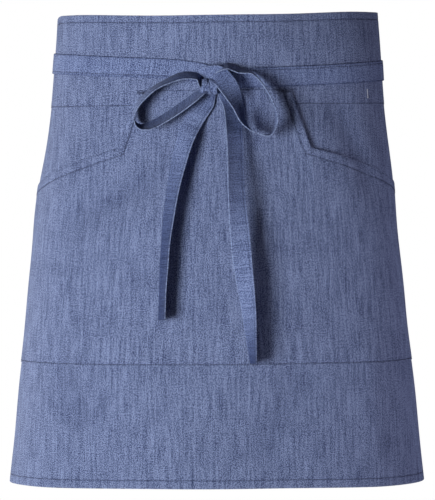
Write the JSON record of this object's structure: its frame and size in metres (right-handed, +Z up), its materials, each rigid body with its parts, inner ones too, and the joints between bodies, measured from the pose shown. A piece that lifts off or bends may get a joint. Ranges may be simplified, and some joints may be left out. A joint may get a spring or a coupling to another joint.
{
  "type": "half apron tied with a bow",
  "caption": "Half apron as worn, with a tall waistband, flared skirt open at the back, wide front pocket with slanted hand openings, and ties wrapped to a bow at the front.",
  "frame": {"origin": "middle of the waist opening, at half the height of the waistband", "axes": "+Z up along the wearer, -Y out of the front with the bow, +X to the right of someone who looks at the front"},
  "size_m": [0.4682, 0.3027, 0.5246],
  "materials": {
    "band_cloth": "matte blue melange plain weave, doubled",
    "skirt_cloth": "matte blue melange plain weave with upright slubs",
    "pocket_cloth": "matte blue melange plain weave with upright slubs",
    "tie_cloth": "matte blue melange plain weave with slubs across the tie"
  },
  "bodies": {
    "root": {"waistband": "band_cloth", "skirt_panel": "skirt_cloth", "pocket_panel": "pocket_cloth", "tie_left_wrap": "tie_cloth", "tie_right_wrap": "tie_cloth", "bow_knot": "tie_cloth", "bow_loop_left": "tie_cloth", "bow_loop_right": "tie_cloth", "tie_tail_left": "tie_cloth", "tie_tail_right": "tie_cloth"}
  },
  "joints": []
}
